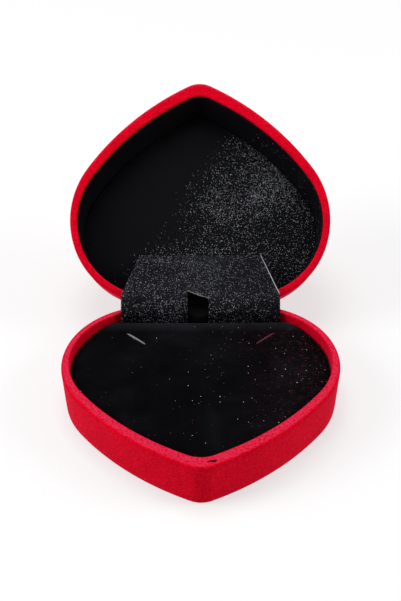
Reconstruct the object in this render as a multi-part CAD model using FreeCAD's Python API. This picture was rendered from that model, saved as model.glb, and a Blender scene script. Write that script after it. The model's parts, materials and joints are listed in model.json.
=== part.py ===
import FreeCAD, Part
import math
import os

# Heart-shaped necklace gift box, open.  Millimetres, +Z up.
# The heart's point faces -Y and the hinge runs along X at the back.
# The origin is the middle of the base's footprint, on its underside.

# Overall sizes
box_width = 100.0
box_depth = 88.7
base_height = 17.5
lid_height = 15.0
closing_gap = 0.3
opening_angle = 140.0

# Heart outline: how far its direction has turned, in degrees, where each arc ends
tip_turn = 26.2
side_turn = 54.8
shoulder_turn = 112.7
tip_radius = 9.8
lobe_radius = 32.6
cleft_radius = 3.0

# Flocked plastic shells
side_wall = 2.9
tip_wall = 5.4
back_wall = 3.0
floor_thickness = 1.6
lid_top_thickness = 1.5
base_draft = 1.1
lid_draft = 1.4
rim_round = 1.2
rim_inner_round = 0.5
mouth_depth = 0.7
shell_overlap = 0.6
foot_round = 0.8
crown_round = 2.5
ledge_width = 2.6
ledge_height = 3.0

# Lift-out insert: card, foam and velvet
insert_clearance = 0.35
insert_seat_gap = 0.05
insert_board_thickness = 1.2
insert_foam_thickness = 8.0
velvet_thickness = 0.6
insert_edge_round = 2.0
slit_length = 9.0
slit_width = 0.9
slit_depth = 4.0
slit_angle = 40.0
slit_offset_x = 23.8
slit_behind_axis = 17.4

# Lid lining: satin over card and wadding
lining_thickness = 0.45
lining_fit = 0.1
ceiling_side_inset = 1.5
ceiling_tip_inset = 3.8
ceiling_back_inset = 0.5
ceiling_tip_radius = 3.0
ceiling_board_thickness = 0.6
wadding_thickness = 1.2
ceiling_satin_thickness = 0.3

# Steel hinge in the cleft
lug_half_width = 6.5
lug_height = 7.0
lug_drop = 0.8
leaf_thickness = 0.5
leaf_height = 6.2
barrel_half_length = 6.0
inner_knuckle_end = 3.55
spring_space = 1.35
knuckle_gap = 0.1
pin_radius = 0.9
pin_clearance = 0.05
pin_head_radius = 1.3
pin_head_thickness = 0.4
spring_wire = 0.36
spring_turns = 5
spring_leg = 4.0
spring_fit = 0.08
spring_leg_gap = 0.03
rivet_radius = 0.6
rivet_clearance = 0.04
rivet_head_radius = 1.1
rivet_head_height = 0.35
rivet_depth = 3.4
rivet_spacing = 6.4
rivet_drop = 4.2

# Hinge cover: satin with a card behind its upper half
cover_half_width = 29.7
cover_top_half_width = 23.4
cover_thickness = 0.4
cover_wall_gap = 0.25
cover_tuck = 6.0
cover_bend_radius = 6.3
cover_mouth_gap = 1.25
cover_run = 13.3
cover_ceiling_gap = 0.15
cover_card_thickness = 0.5
cover_card_inset = 0.8
cover_card_end_gap = 1.8
notch_left = 4.9
notch_right = 3.0
notch_reach_left = 7.5
notch_reach_right = 3.25

V = FreeCAD.Vector
X_AXIS = V(1, 0, 0)
Y_AXIS = V(0, 1, 0)
Z_AXIS = V(0, 0, 1)

os.makedirs("parts", exist_ok=True)


def save(shape, node):
    """Write one named piece."""
    shape.exportStep("parts/" + node + ".step")


def box(low, high):
    """An upright box between two corners."""
    return Part.makeBox(high.x - low.x, high.y - low.y, high.z - low.z, low)


def rod_x(radius, x0, x1, y, z):
    """A round bar along X."""
    return Part.makeCylinder(radius, x1 - x0, V(x0, y, z), X_AXIS)


class Heart:
    """A heart outline of tangent arcs, symmetric about X = 0, its point towards -Y."""

    def __init__(self, width, depth, tip_y, tip_radius, lobe_radius, cleft_radius):
        self.tip_y = tip_y
        self.back_line = tip_y + depth
        self.tip_radius = tip_radius
        self.lobe_radius = lobe_radius
        self.cleft_radius = cleft_radius
        self.turns = [math.radians(a) for a in (tip_turn, side_turn, shoulder_turn)]
        tip, side, shoulder = self.turns
        # The side and shoulder radii are the two that give this width and depth.
        across = width / 2 - tip_radius * math.sin(tip)
        along = depth - tip_radius * (1 - math.cos(tip)) - lobe_radius * (1 + math.cos(shoulder))
        a = math.sin(side) - math.sin(tip)
        b = 1 - math.sin(side)
        c = math.cos(tip) - math.cos(side)
        d = math.cos(side) - math.cos(shoulder)
        self.side_radius = (across * d - b * along) / (a * d - b * c)
        self.shoulder_radius = (a * along - c * across) / (a * d - b * c)
        self.lobe_x = (
            tip_radius * math.sin(tip)
            + self.side_radius * a
            + self.shoulder_radius * (math.sin(shoulder) - math.sin(side))
            - lobe_radius * math.sin(shoulder)
        )
        self.cleft_turn = math.asin(self.lobe_x / (lobe_radius + cleft_radius))
        drop = (lobe_radius + cleft_radius) * (1 - math.cos(self.cleft_turn))
        self.cleft_y = self.back_line - drop

    def back_y(self, x):
        """Y of the lobe's back at X."""
        reach = math.sqrt(self.lobe_radius**2 - (abs(x) - self.lobe_x) ** 2)
        return self.back_line - self.lobe_radius + reach

    def arcs(self):
        """Each arc as its radius and the directions it runs between; a minus radius turns right."""
        tip, side, shoulder = self.turns
        full = 2 * math.pi
        cleft_in = math.pi + self.cleft_turn
        cleft_out = math.pi - self.cleft_turn
        return [
            (self.tip_radius, -tip, tip),
            (self.side_radius, tip, side),
            (self.shoulder_radius, side, shoulder),
            (self.lobe_radius, shoulder, cleft_in),
            (-self.cleft_radius, cleft_in, cleft_out),
            (self.lobe_radius, cleft_out, full - shoulder),
            (self.shoulder_radius, full - shoulder, full - side),
            (self.side_radius, full - side, full - tip),
        ]

    def start(self, inset=0.0):
        """Where the first arc begins, at height 0."""
        tip = self.turns[0]
        radius = self.tip_radius - inset
        centre_y = self.tip_y + self.tip_radius
        return V(-radius * math.sin(tip), centre_y - radius * math.cos(tip), 0)

    def wire(self, z, inset=0.0):
        """The closed outline at height z, moved inwards by inset."""
        lift = V(0, 0, z)
        point = self.start(inset) + lift
        points = [point]
        edges = []
        for radius, turn_from, turn_to in self.arcs():
            reach = radius - inset
            middle = point + self.step(reach, turn_from, (turn_from + turn_to) / 2)
            point = point + self.step(reach, turn_from, turn_to)
            points += [middle, point]
        points[-1] = points[0]
        for first in range(0, len(points) - 2, 2):
            arc = Part.Arc(points[first], points[first + 1], points[first + 2])
            edges.append(arc.toShape())
        return Part.Wire(edges)

    def ring(self, corners):
        """A solid band round the outline whose section has these rounded corners."""
        point = self.start()
        sectors = []
        for radius, turn_from, turn_to in self.arcs():
            outward = V(math.sin(turn_from), -math.cos(turn_from), 0)
            face = section(corners, point, outward)
            turn = math.degrees(turn_to - turn_from)
            sectors.append(face.revolve(point - outward * radius, Z_AXIS, turn))
            point = point + self.step(radius, turn_from, turn_to)
        return sectors[0].fuse(sectors[1:])

    @staticmethod
    def step(radius, turn_from, turn_to):
        """The move along an arc between two directions."""
        dx = radius * (math.sin(turn_to) - math.sin(turn_from))
        dy = radius * (math.cos(turn_from) - math.cos(turn_to))
        return V(dx, dy, 0)

    def slab(self, z0, z1, inset=0.0):
        """An upright solid of the outline from z0 to z1."""
        return Part.Face(self.wire(z0, inset)).extrude(V(0, 0, z1 - z0))


def section(corners, origin, outward):
    """A face in the upright plane through origin; a corner is its inset, height and radius."""
    points = [origin - outward * inset + V(0, 0, z) for inset, z, radius in corners]
    count = len(points)
    starts = []
    ends = []
    edges = []
    for i in range(count):
        back = (points[i - 1] - points[i]).normalize()
        ahead = (points[(i + 1) % count] - points[i]).normalize()
        half_angle = back.getAngle(ahead) / 2
        radius = corners[i][2]
        trim = radius / math.tan(half_angle)
        starts.append(points[i] + back * trim)
        ends.append(points[i] + ahead * trim)
        if radius:
            inwards = (back + ahead).normalize()
            reach = radius / math.sin(half_angle) - radius
            edges.append(Part.Arc(starts[i], points[i] + inwards * reach, ends[i]).toShape())
        if i:
            edges.append(Part.LineSegment(ends[i - 1], starts[i]).toShape())
    edges.append(Part.LineSegment(ends[-1], starts[0]).toShape())
    return Part.Face(Part.Wire(Part.sortEdges(edges)[0]))


def loft(wire_a, wire_b):
    """A straight-sided solid between two outlines."""
    return Part.makeLoft([wire_a, wire_b], True, True)


def edges_at(shape, z):
    """The edges that lie level at height z."""
    found = []
    for edge in shape.Edges:
        bounds = edge.BoundBox
        if abs(bounds.ZMin - z) < 1e-3 and abs(bounds.ZMax - z) < 1e-3:
            found.append(edge)
    return found


# Outlines and the places that follow from the sizes above
outer = Heart(box_width, box_depth, -box_depth / 2, tip_radius, lobe_radius, cleft_radius)
inner = Heart(
    box_width - 2 * side_wall,
    box_depth - tip_wall - back_wall,
    outer.tip_y + tip_wall,
    tip_radius,
    lobe_radius - back_wall,
    cleft_radius + back_wall,
)
ceiling = Heart(
    box_width - 2 * side_wall - 2 * ceiling_side_inset,
    box_depth - tip_wall - back_wall - ceiling_tip_inset - ceiling_back_inset,
    inner.tip_y + ceiling_tip_inset,
    ceiling_tip_radius,
    lobe_radius - back_wall - ceiling_back_inset,
    cleft_radius + back_wall + ceiling_back_inset,
)

axis_y = outer.back_line
axis_z = base_height + closing_gap / 2
lid_rim_z = base_height + closing_gap
lid_crown_z = lid_rim_z + lid_height
ledge_z = floor_thickness + ledge_height
insert_z = ledge_z + insert_seat_gap
insert_top = insert_z + insert_board_thickness + insert_foam_thickness + velvet_thickness
knuckle_radius = pin_radius + pin_clearance + leaf_thickness
leaf_y = axis_y - knuckle_radius
cover_back = min(inner.back_y(cover_half_width), inner.back_y(notch_right))
cover_y = cover_back - cover_wall_gap - cover_thickness
insert_back = min(inner.cleft_y, cover_y) - insert_clearance
ceiling_layers = ceiling_board_thickness + wadding_thickness + ceiling_satin_thickness
ceiling_z = lid_crown_z - lid_top_thickness - ceiling_layers


def opened(shape):
    """Turn a piece of the closed lid to where it stands with the box open."""
    turned = shape.copy()
    turned.rotate(V(0, axis_y, axis_z), X_AXIS, -opening_angle)
    return turned


def opened_point(y, z):
    """Where a point of the closed lid stands with the box open."""
    turn = math.radians(-opening_angle)
    dy = y - axis_y
    dz = z - axis_z
    return V(
        0,
        axis_y + dy * math.cos(turn) - dz * math.sin(turn),
        axis_z + dy * math.sin(turn) + dz * math.cos(turn),
    )


def rivet_holes(z):
    """The blind holes behind one hinge leaf, along Y."""
    radius = rivet_radius + rivet_clearance
    length = rivet_depth + rivet_clearance + leaf_thickness
    holes = []
    for side in (-1, 1):
        start = V(side * rivet_spacing / 2, leaf_y + leaf_thickness, z)
        holes.append(Part.makeCylinder(radius, length, start, -Y_AXIS))
    return Part.makeCompound(holes)


def hinge_lug(z0, z1):
    """The moulded block in the cleft that carries one hinge leaf."""
    return box(V(-lug_half_width, inner.cleft_y, z0), V(lug_half_width, leaf_y, z1))


def shell_block(rim_z, far_z, draft, far_round):
    """A solid heart between the rim and its far side, drafted and rounded."""
    band = draft + far_round + shell_overlap
    ring = outer.ring([
        (band, rim_z, 0),
        (0, rim_z, rim_round),
        (draft, far_z, far_round),
        (band, far_z, 0),
    ])
    core = outer.slab(min(rim_z, far_z), max(rim_z, far_z), band - shell_overlap)
    return ring.fuse(core).removeSplitter()


def rim_mouth(rim_z, into):
    """The cutter for the mouth of a hollow, flared by the rim's inner rounding."""
    above = rim_z - into * rim_inner_round
    flare = inner.ring([
        (rim_inner_round, above, 0),
        (-2 * rim_inner_round, above, 0),
        (-2 * rim_inner_round, rim_z, 0),
        (0, rim_z, rim_inner_round),
        (0, rim_z + into * mouth_depth, 0),
        (rim_inner_round, rim_z + into * mouth_depth, 0),
    ])
    low = min(above, rim_z + into * mouth_depth)
    high = max(above, rim_z + into * mouth_depth)
    return flare.fuse(inner.slab(low, high, rim_inner_round / 2))


def base_shell():
    """The lower tray: drafted wall, rounded rim, and a ledge for the insert."""
    body = shell_block(base_height, 0, base_draft, foot_round)
    body = body.fuse(hinge_lug(base_height - lug_height, base_height - lug_drop))
    body = body.cut(inner.slab(floor_thickness, ledge_z, ledge_width))
    body = body.cut(inner.slab(ledge_z, base_height - mouth_depth))
    body = body.cut(rim_mouth(base_height, -1))
    return body.cut(rivet_holes(axis_z - rivet_drop))


def lid_cavity(setback=0.0):
    """The tapered hollow of the closed lid, drawn in by setback all round."""
    return loft(
        inner.wire(lid_rim_z + mouth_depth, setback),
        ceiling.wire(lid_crown_z - lid_top_thickness, setback - lining_thickness),
    )


def lid_shell():
    """The upper tray, modelled closed and then opened."""
    body = shell_block(lid_rim_z, lid_crown_z, lid_draft, crown_round)
    body = body.fuse(hinge_lug(lid_rim_z + lug_drop, lid_rim_z + lug_height))
    body = body.cut(lid_cavity())
    body = body.cut(rim_mouth(lid_rim_z, 1))
    body = body.cut(rivet_holes(axis_z + rivet_drop))
    return opened(body)


def insert_block(grow, z0, z1):
    """The insert's outline as a block; its back edge is straight."""
    block = inner.slab(z0, z1, insert_clearance + velvet_thickness - grow)
    back = insert_back - velvet_thickness + grow
    wide = box_width
    return block.common(box(V(-wide, -wide, z0), V(wide, back, z1)))


def slits():
    """Two slots in the insert, one to each side, that hold a chain."""
    cutters = []
    for side in (-1, 1):
        low = V(-slit_length / 2, -slit_width / 2, insert_top - slit_depth)
        high = V(slit_length / 2, slit_width / 2, insert_top + 1)
        cutter = box(low, high)
        cutter.rotate(V(0, 0, 0), Z_AXIS, side * slit_angle)
        cutter.translate(V(side * slit_offset_x, axis_y - slit_behind_axis, 0))
        cutters.append(cutter)
    return Part.makeCompound(cutters)


def insert_pieces():
    """The card, the foam on it and the velvet round both."""
    core_top = insert_top - velvet_thickness
    board_top = insert_z + insert_board_thickness
    skin = insert_block(velvet_thickness, insert_z, insert_top)
    skin = skin.makeFillet(insert_edge_round, edges_at(skin, insert_top))
    core = insert_block(0, insert_z, core_top)
    core = core.makeFillet(insert_edge_round - velvet_thickness, edges_at(core, core_top))
    wide = box_width
    board = core.common(box(V(-wide, -wide, insert_z), V(wide, wide, board_top)))
    foam = core.common(box(V(-wide, -wide, board_top), V(wide, wide, insert_top)))
    return board, foam.cut(slits()), skin.cut(core).cut(slits())


def lid_layer(z0, z1):
    """One flat layer of the lid's ceiling, inside its wall lining."""
    wide = box_width
    slab = box(V(-wide, -wide, z0), V(wide, wide, z1))
    return opened(lid_cavity(lining_thickness + lining_fit).common(slab))


def wall_lining(side):
    """Half of the lining round the lid's wall, from the point to the hinge cover."""
    ring = lid_cavity().cut(lid_cavity(lining_thickness))
    wide = box_width
    seam = lining_fit / 2
    top = lid_crown_z - lid_top_thickness
    ends = (seam, wide)
    if side < 0:
        ends = (-wide, -seam)
    half = box(V(ends[0], -wide, lid_rim_z), V(ends[1], wide, top))
    stop = box(
        V(-lug_half_width, inner.cleft_y - back_wall, lid_rim_z),
        V(lug_half_width, axis_y, lid_crown_z),
    )
    return opened(ring.common(half).cut(stop))


def hinge_leaf(up, x0, x1):
    """A flat leaf whose top is curled round the pin; up is 1 on the lid and -1 on the base."""
    far = axis_z + up * (closing_gap / 2 + leaf_height)
    near = axis_z + up * knuckle_radius
    plate_low = V(-barrel_half_length, leaf_y, min(far, near))
    plate_high = V(barrel_half_length, leaf_y + leaf_thickness, max(far, near))
    leaf = box(plate_low, plate_high)
    for low, high in ((x0, x1), (-x1, -x0)):
        strap_low = V(low, leaf_y, min(axis_z, near))
        strap_high = V(high, leaf_y + leaf_thickness, max(axis_z, near))
        leaf = leaf.fuse(box(strap_low, strap_high))
        leaf = leaf.fuse(rod_x(knuckle_radius, low, high, axis_y, axis_z))
    bore = pin_radius + pin_clearance
    leaf = leaf.cut(rod_x(bore, -barrel_half_length - 1, barrel_half_length + 1, axis_y, axis_z))
    return leaf.cut(rivet_holes(axis_z + up * rivet_drop)).removeSplitter()


def hinge_pin():
    """The pin, with a peened head at each end."""
    end = barrel_half_length + knuckle_gap
    pin = rod_x(pin_radius, -end, end, axis_y, axis_z)
    for low, high in ((end, end + pin_head_thickness), (-end - pin_head_thickness, -end)):
        pin = pin.fuse(rod_x(pin_head_radius, low, high, axis_y, axis_z))
    return pin


def hinge_spring():
    """The coil round the middle of the pin, with a leg behind each leaf."""
    mean = pin_radius + spring_fit + spring_wire / 2
    leg_back = pin_radius + pin_clearance - spring_leg_gap - spring_wire / 2
    lift = math.degrees(math.acos(leg_back / mean))
    turns = spring_turns + (-2 * lift - opening_angle) % 360 / 360
    half = spring_space - spring_fit - spring_wire / 2
    path = Part.Wire(Part.makeHelix(2 * half / turns, 2 * half, mean))
    section = Part.Wire(Part.makeCircle(spring_wire / 2, V(mean, 0, 0), Y_AXIS))
    coil = path.makePipeShell([section], True, True)
    coil.translate(V(0, 0, -half))
    # The helix starts on its own +X side, which these two turns bring to the base leg.
    coil.rotate(V(0, 0, 0), Y_AXIS, 90)
    coil.rotate(V(0, 0, 0), X_AXIS, 270 + lift)
    coil.translate(V(0, axis_y, axis_z))
    leg_rise = mean * math.sin(math.radians(lift))
    base_start = V(-half, axis_y - leg_back, axis_z - leg_rise)
    lid_start = V(half, axis_y - leg_back, axis_z + leg_rise)
    base_leg = Part.makeCylinder(spring_wire / 2, spring_leg, base_start, -Z_AXIS)
    lid_leg = opened(Part.makeCylinder(spring_wire / 2, spring_leg, lid_start, Z_AXIS))
    return coil.fuse([base_leg, lid_leg])


def rivets(up):
    """Two round-headed rivets through one leaf."""
    pair = []
    for side in (-1, 1):
        place = V(side * rivet_spacing / 2, leaf_y + leaf_thickness, axis_z + up * rivet_drop)
        shank = Part.makeCylinder(rivet_radius, leaf_thickness + rivet_depth, place, -Y_AXIS)
        head = Part.makeCylinder(rivet_head_radius, rivet_head_height, place, Y_AXIS)
        pair.append(shank.fuse(head))
    return Part.makeCompound(pair)


def cover_mouth():
    """Where the cover's visible face passes the lid's rim, clear of the cleft."""
    return opened_point(inner.cleft_y - cover_mouth_gap, lid_rim_z)


def cover_end():
    """Where the cover's visible face meets the lid's ceiling."""
    y = inner.cleft_y - cover_mouth_gap - cover_run
    return opened_point(y, ceiling_z - cover_ceiling_gap - cover_thickness)


def cover_sides(half_near, half_far, near, far):
    """Two upright wedges that cut the cover's upper half to a trapezoid."""
    wide = box_width
    wedges = []
    for side in (-1, 1):
        corners = [
            V(side * half_near, near.y, 0),
            V(side * half_far, far.y, 0),
            V(side * half_far, far.y + wide, 0),
            V(side * wide, far.y + wide, 0),
            V(side * wide, near.y, 0),
            V(side * half_near, near.y, 0),
        ]
        wedges.append(Part.Face(Part.makePolygon(corners)).extrude(V(0, 0, wide)))
    return Part.makeCompound(wedges)


def notch():
    """The slant-ended slot up the cover's lower half and over its bend, clear of the hinge."""
    near_y = cover_y - 1
    corners = [
        V(-notch_left, near_y, 0),
        V(-notch_left, cover_y + notch_reach_left, 0),
        V(notch_right, cover_y + notch_reach_right, 0),
        V(notch_right, near_y, 0),
        V(-notch_left, near_y, 0),
    ]
    face = Part.Face(Part.makePolygon(corners))
    return face.extrude(V(0, 0, axis_z + 2 * cover_bend_radius))


def hinge_cover():
    """The satin that hides the hinge and the card glued behind its upper half."""
    mouth = cover_mouth()
    far = cover_end()
    along = V(far.x - mouth.x, far.y - mouth.y, far.z - mouth.z).normalize()
    bottom = V(0, cover_y, axis_z - cover_tuck)
    fold = mouth + along * ((cover_y - mouth.y) / along.y)
    half_angle = (bottom - fold).getAngle(along) / 2
    trim = cover_bend_radius / math.tan(half_angle)
    turn_start = fold - Z_AXIS * trim
    turn_end = fold + along * trim
    inwards = (along - Z_AXIS).normalize()
    middle = fold + inwards * (cover_bend_radius / math.sin(half_angle) - cover_bend_radius)
    path = Part.Wire([
        Part.LineSegment(bottom, turn_start).toShape(),
        Part.Arc(turn_start, middle, turn_end).toShape(),
        Part.LineSegment(turn_end, far).toShape(),
    ])
    strip = path.makeOffset2D(cover_thickness, join=0, fill=True, openResult=True)
    satin = strip.extrude(V(2 * cover_half_width, 0, 0))
    satin.translate(V(-cover_half_width, 0, 0))
    satin = satin.cut(cover_sides(cover_half_width, cover_top_half_width, turn_end, far))
    satin = satin.cut(notch())
    down = V(0, along.z, -along.y)
    card_near = mouth + down * cover_thickness
    card_far = far - along * cover_card_end_gap + down * cover_thickness
    card_corners = [
        card_near,
        card_far,
        card_far + down * cover_card_thickness,
        card_near + down * cover_card_thickness,
        card_near,
    ]
    card = Part.Face(Part.makePolygon(card_corners)).extrude(V(2 * cover_half_width, 0, 0))
    card.translate(V(-cover_half_width, 0, 0))
    near_half = cover_half_width - cover_card_inset
    far_half = cover_top_half_width - cover_card_inset
    return satin, card.cut(cover_sides(near_half, far_half, turn_end, far))


def main():
    board, foam, velvet = insert_pieces()
    satin_z = ceiling_z
    wadding_z = satin_z + ceiling_satin_thickness
    board_z = wadding_z + wadding_thickness
    cover, card = hinge_cover()
    pieces = {
        "base_shell": base_shell(),
        "insert_board": board,
        "insert_foam": foam,
        "insert_velvet": velvet,
        "lid_shell": lid_shell(),
        "lid_ceiling_satin": lid_layer(satin_z, wadding_z),
        "lid_ceiling_wadding": lid_layer(wadding_z, board_z),
        "lid_ceiling_board": lid_layer(board_z, lid_crown_z - lid_top_thickness),
        "lid_wall_satin_left": wall_lining(-1),
        "lid_wall_satin_right": wall_lining(1),
        "hinge_leaf_base": hinge_leaf(-1, inner_knuckle_end + knuckle_gap, barrel_half_length),
        "hinge_leaf_lid": opened(hinge_leaf(1, spring_space, inner_knuckle_end)),
        "hinge_pin": hinge_pin(),
        "hinge_spring": hinge_spring(),
        "hinge_rivets_base": rivets(-1),
        "hinge_rivets_lid": opened(rivets(1)),
        "hinge_cover_satin": cover,
        "hinge_cover_card": card,
    }
    for node, shape in pieces.items():
        save(shape, node)


main()
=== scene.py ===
import json
import math

import bmesh
import bpy
from mathutils import Matrix, Vector, noise


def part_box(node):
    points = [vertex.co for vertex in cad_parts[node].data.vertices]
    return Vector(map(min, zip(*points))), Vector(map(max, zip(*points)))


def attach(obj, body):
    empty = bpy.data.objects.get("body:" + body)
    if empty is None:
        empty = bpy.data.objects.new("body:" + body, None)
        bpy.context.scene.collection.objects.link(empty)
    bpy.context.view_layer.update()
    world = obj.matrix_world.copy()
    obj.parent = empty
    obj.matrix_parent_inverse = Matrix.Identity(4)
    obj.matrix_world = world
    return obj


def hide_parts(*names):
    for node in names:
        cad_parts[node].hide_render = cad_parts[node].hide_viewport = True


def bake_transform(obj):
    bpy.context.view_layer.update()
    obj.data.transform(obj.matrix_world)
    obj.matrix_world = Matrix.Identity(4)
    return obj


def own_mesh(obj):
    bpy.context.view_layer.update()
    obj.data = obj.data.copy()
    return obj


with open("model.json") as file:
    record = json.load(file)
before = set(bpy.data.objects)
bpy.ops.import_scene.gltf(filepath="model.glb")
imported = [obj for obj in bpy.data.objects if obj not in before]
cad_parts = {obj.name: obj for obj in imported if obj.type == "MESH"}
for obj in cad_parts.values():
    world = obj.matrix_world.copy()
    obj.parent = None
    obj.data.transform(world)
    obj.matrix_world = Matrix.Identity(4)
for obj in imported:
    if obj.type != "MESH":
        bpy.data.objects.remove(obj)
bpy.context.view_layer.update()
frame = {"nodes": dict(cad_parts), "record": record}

bl_info = {
    "name": "Heart gift box",
    "version": (1, 0, 0),
    "blender": (4, 5, 0),
    "location": "3D View > Sidebar > Gift box",
    "description": "A flocked heart-shaped necklace box round its packed frame",
    "category": "Object",
}

MM = 0.001

# What the frame says, in millimetres
HINGE = frame["record"]["behaviour"]["joints"][0]
AXIS_Y = HINGE["pos_m"][1] / MM
AXIS_Z = HINGE["pos_m"][2] / MM
OPENING = HINGE["range_deg"][1]
BASE_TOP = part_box("base_shell")[1].z / MM
INSERT_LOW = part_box("insert_board")[0].z / MM
INSERT_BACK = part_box("insert_velvet")[1].y / MM
RIM_GAP = 2 * (AXIS_Z - BASE_TOP)
LID_RIM = BASE_TOP + RIM_GAP

# Outline and walls, in millimetres, as the shells are moulded
BOX_DEPTH = 88.7
TIP_TURN = 26.2
SIDE_TURN = 54.8
SHOULDER_TURN = 112.7
SIDE_WALL = 2.9
TIP_WALL = 5.4
BACK_WALL = 3.0
LINING = 0.45
TIP_RADIUS = 9.8
LOBE_RADIUS = 32.6
CLEFT_RADIUS = 3.0
MOUTH_ROUND = 0.5

# The lid's ceiling: how much narrower, shorter and tighter it is than the rim's inside
CEILING_SIDES = 3.0
CEILING_TIP = 3.8
CEILING_BACK = 0.5
CEILING_TIP_RADIUS = 3.0
CEILING_FILL = 2.1
WALL_EDGE = 0.75
LID_MIDDLE = Vector((0, -8))

# The hinge cover: half widths, radius of its bend, how far it reaches below the pin and
# into the lid, and its distances from the cleft and from the lining
COVER_HALF = 29.7
COVER_TOP_HALF = 23.4
COVER_BEND = 6.3
COVER_FOOT = 6.0
COVER_RUN = 13.3
COVER_MOUTH = 1.25
COVER_CLEAR = 0.55

# The cover's card, the width of its pale grey edge, and its slant-topped notch
CARD_GAP = 0.25
CARD = 0.4
PALE_EDGE = 0.3
NOTCH_LEFT = 4.9
NOTCH_RIGHT = 3.0
NOTCH_REACH_LEFT = 8.3
NOTCH_REACH_RIGHT = 3.7

# The slits: out from the middle, in front of the pin, and reach of their cut edges
SLIT_X = 23.8
SLIT_FRONT = 17.4
SLIT_REACH = 4.9

# The hinge's lugs: half width, distances from pin and cleft, and span from the rim
LUG_HALF = 6.5
LUG_FRONT = 1.45
LUG_ROOT = 1.5
LUG_NEAR = 0.8
LUG_FAR = 7.0

# The camera's lens shift, in sensor widths, and its roll in degrees
CAMERA_SHIFT = 0.00512
CAMERA_ROLL = -0.22


def hex_linear(text):
    """An sRGB hex colour as linear RGBA."""
    values = [int(text[i:i + 2], 16) / 255 for i in (0, 2, 4)]
    low = [v / 12.92 if v <= 0.04045 else ((v + 0.055) / 1.055) ** 2.4 for v in values]
    return (*low, 1.0)


# ---- settings ----

def length_prop(name, text, default, low, high):
    """A length in millimetres."""
    return bpy.props.FloatProperty(name=name, description=text, default=default, min=low, max=high)


def colour_prop(name, text, default):
    """An sRGB colour as a hex string."""
    return bpy.props.StringProperty(name=name, description=text, default=default, maxlen=6)


class GIFTBOX_PG_shells(bpy.types.PropertyGroup):
    """Sizes and colour of the two moulded shells."""
    width: length_prop("Width", "Outer width of the heart, mm", 100.0, 60, 160)
    lid_height: length_prop("Lid height", "Height of the lid, mm", 15.0, 8, 40)
    floor: length_prop("Floor", "Thickness of the base's floor, mm", 1.6, 0.8, 4)
    lid_top: length_prop("Lid top", "Thickness of the lid's top, mm", 1.5, 0.8, 4)
    base_draft: length_prop("Base draft", "How far the base narrows to its foot, mm", 1.1, 0, 4)
    lid_draft: length_prop("Lid draft", "How far the lid narrows to its crown, mm", 1.4, 0, 4)
    rim_round: length_prop("Rim rounding", "Outer rounding of both rims, mm", 1.2, 0.2, 2.5)
    crown_round: length_prop("Crown rounding", "Rounding of the lid's far edge, mm", 2.5, 0.2, 5)
    colour: colour_prop("Flock", "Colour of the flock", "BC0019")


class GIFTBOX_PG_insert(bpy.types.PropertyGroup):
    """The lift-out velvet insert."""
    back_lift: length_prop("Back lift", "How far the rolled back edge stands up, mm", 1.6, 0, 3)
    crown: length_prop("Crown", "How far the pad swells in the middle, mm", 0.5, 0, 3)
    edge_round: length_prop("Edge rounding", "Rounding of the pad's edge, mm", 2.2, 0.5, 4)
    slit_length: length_prop("Slit length", "Length of each chain slit, mm", 9.0, 4, 20)
    slit_angle: bpy.props.FloatProperty(
        name="Slit angle", description="Turn of each slit from straight across",
        default=math.radians(40), subtype="ANGLE")
    colour: colour_prop("Velvet", "Colour of the pile", "060608")


class GIFTBOX_PG_lining(bpy.types.PropertyGroup):
    """The satin lining of the lid and the hinge cover."""
    puff: length_prop("Puff", "How far the ceiling satin swells, mm", 1.0, 0, 3)
    wrinkle: length_prop("Wrinkle", "Depth of the hinge cover's creases, mm", 0.55, 0, 2)
    thread: length_prop("Thread", "Spacing of the weave's threads, mm", 0.17, 0.1, 1)
    colour: colour_prop("Satin", "Colour of the satin", "08080B")


class GIFTBOX_PG_stage(bpy.types.PropertyGroup):
    """Camera and light."""
    distance: bpy.props.FloatProperty(
        name="Distance", description="Camera to hinge pin", default=0.52188, unit="LENGTH")
    elevation: bpy.props.FloatProperty(
        name="Elevation", description="How far the camera looks down",
        default=math.radians(37.14), subtype="ANGLE")
    lens: bpy.props.FloatProperty(name="Lens", description="Focal length, mm", default=82.85)


# ---- outline ----

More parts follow.
